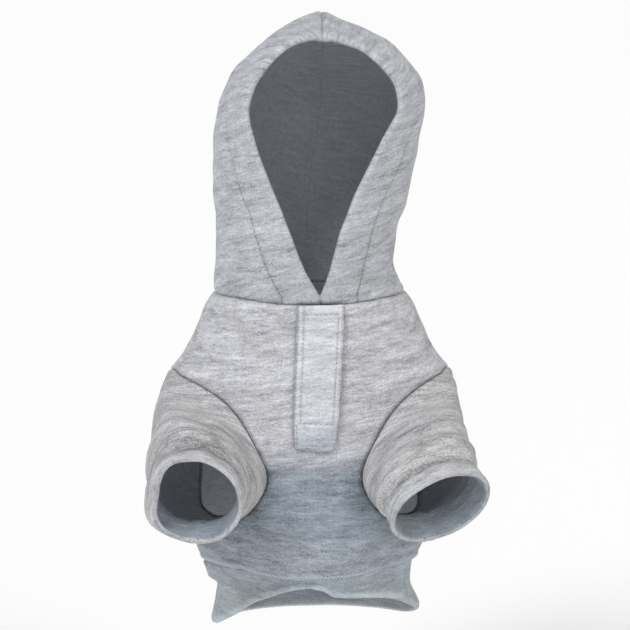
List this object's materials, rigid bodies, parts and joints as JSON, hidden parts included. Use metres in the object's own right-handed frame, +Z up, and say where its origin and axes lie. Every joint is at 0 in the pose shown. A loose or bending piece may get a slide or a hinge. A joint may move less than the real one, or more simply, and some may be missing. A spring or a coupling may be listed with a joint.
{
  "type": "dog sweatshirt",
  "caption": "Soft hooded pullover for a small dog in its worn form, with set-in short sleeves, a stitched front strip and a ribbed waistband cut high at the belly.",
  "frame": {"origin": "middle of the neck seam's oval, where the garment sits on the wearer's neck", "axes": "+Z up towards the crown of the hood, -Y the front with the placket and the cuffs, +X the wearer's left"},
  "size_m": [0.1982, 0.1864, 0.375],
  "materials": {
    "marl_fleece": "matt brushed marl fleece",
    "marl_rib": "matt ribbed marl knit"
  },
  "bodies": {
    "root": {"front_panel": "marl_fleece", "back_panel": "marl_fleece", "hood_left": "marl_fleece", "hood_right": "marl_fleece", "sleeve_left": "marl_fleece", "sleeve_right": "marl_fleece", "placket": "marl_fleece", "waistband": "marl_rib"}
  },
  "joints": []
}
